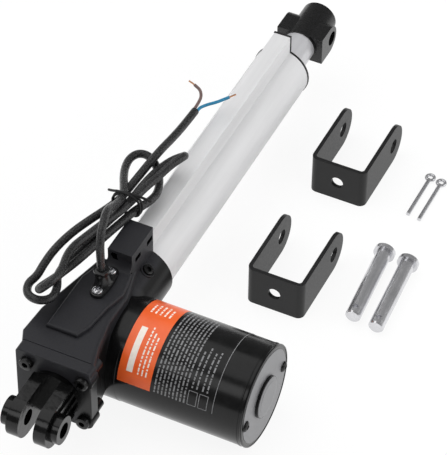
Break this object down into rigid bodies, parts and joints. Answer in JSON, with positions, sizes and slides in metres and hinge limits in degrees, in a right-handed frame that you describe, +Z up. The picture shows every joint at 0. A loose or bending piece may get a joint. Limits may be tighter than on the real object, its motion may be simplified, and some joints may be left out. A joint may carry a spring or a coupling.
{
  "type": "electric linear actuator",
  "caption": "Electric linear actuator with a side motor, clevis and rod eye, a tied cable and a loose set of two U brackets, two clevis pins and two split pins",
  "frame": {"origin": "centre of the rear clevis pin hole", "axes": "+X along the tube to the rod eye, the motor hangs off to -Y, +Z up, square to both"},
  "size_m": [0.4144, 0.1804, 0.1166],
  "materials": {
    "cast_black": "satin powder coat",
    "clevis_black": "satin powder coat",
    "screw_black": "black oxide",
    "screw_steel": "bright zinc",
    "tube_alu": "satin anodised",
    "rod_steel": "bright polished",
    "head_black": "semi gloss",
    "seal_black": "matte",
    "bush_poly": "matte",
    "nut_poly": "matte",
    "screw_shaft": "rolled",
    "wheel_poly": "matte",
    "bearing_steel": "ground",
    "can_black": "gloss paint",
    "end_steel": "satin",
    "magnet": "matte",
    "core_steel": "laminated",
    "copper": "turned",
    "carbon": "matte",
    "board": "matte",
    "gland_black": "matte",
    "cable_black": "semi gloss sheath",
    "wire_blue": "matte",
    "wire_brown": "matte",
    "bracket_black": "satin",
    "zinc": "bright zinc"
  },
  "bodies": {
    "housing": {"gearbox_housing": "cast_black", "rear_cover": "cast_black", "rear_clevis": "clevis_black", "rear_cover_screws": "screw_black", "outer_tube": "tube_alu", "switch_board": "board", "limit_switch_rear": "carbon", "limit_switch_front": "carbon", "tube_end_seal": "seal_black", "guide_bush": "bush_poly", "screw_bearing_front": "bearing_steel", "screw_bearing_rear": "bearing_steel", "motor_can": "can_black", "motor_end_plate": "end_steel", "motor_bolts": "screw_black", "motor_magnets": "magnet", "brush_carrier": "carbon", "brush_upper": "carbon", "brush_lower": "carbon", "motor_bearing_front": "bearing_steel", "motor_bearing_rear": "copper", "cable_gland": "gland_black", "gland_screws": "screw_steel", "socket_screw": "screw_black", "bracket_rear": "bracket_black", "bracket_front": "bracket_black", "clevis_pin_one": "zinc", "clevis_pin_two": "zinc", "split_pin_one": "zinc", "split_pin_two": "zinc", "cable_lead": "cable_black", "cable_hank": "cable_black", "cable_tie": "cable_black", "cable_tail": "cable_black", "wire_blue": "wire_blue", "wire_brown": "wire_brown"},
    "rod": {"push_rod": "rod_steel", "drive_nut": "nut_poly", "rod_end": "head_black"},
    "screw": {"lead_screw": "screw_shaft", "worm_wheel": "wheel_poly"},
    "armature": {"worm_shaft": "screw_shaft", "armature_core": "core_steel", "commutator": "copper"}
  },
  "joints": [
    {"name": "armature_spin", "type": "hinge", "parent": "housing", "child": "armature", "pos_m": [0.0866, 0, -0.014], "axis": [0, 1, 0], "range_deg": [0, 288000]},
    {"name": "screw_spin", "type": "hinge", "parent": "housing", "child": "screw", "pos_m": [0, 0, 0], "axis": [1, 0, 0], "range_deg": [0, 14400]},
    {"name": "rod_slide", "type": "slide", "parent": "housing", "child": "rod", "axis": [1, 0, 0], "range_m": [0, 0.2]}
  ],
  "couplings": [
    {"joint": "screw_spin", "follows": "armature_spin", "ratio": 0.05},
    {"joint": "rod_slide", "follows": "armature_spin", "m_per_rad": 0.000039789}
  ]
}
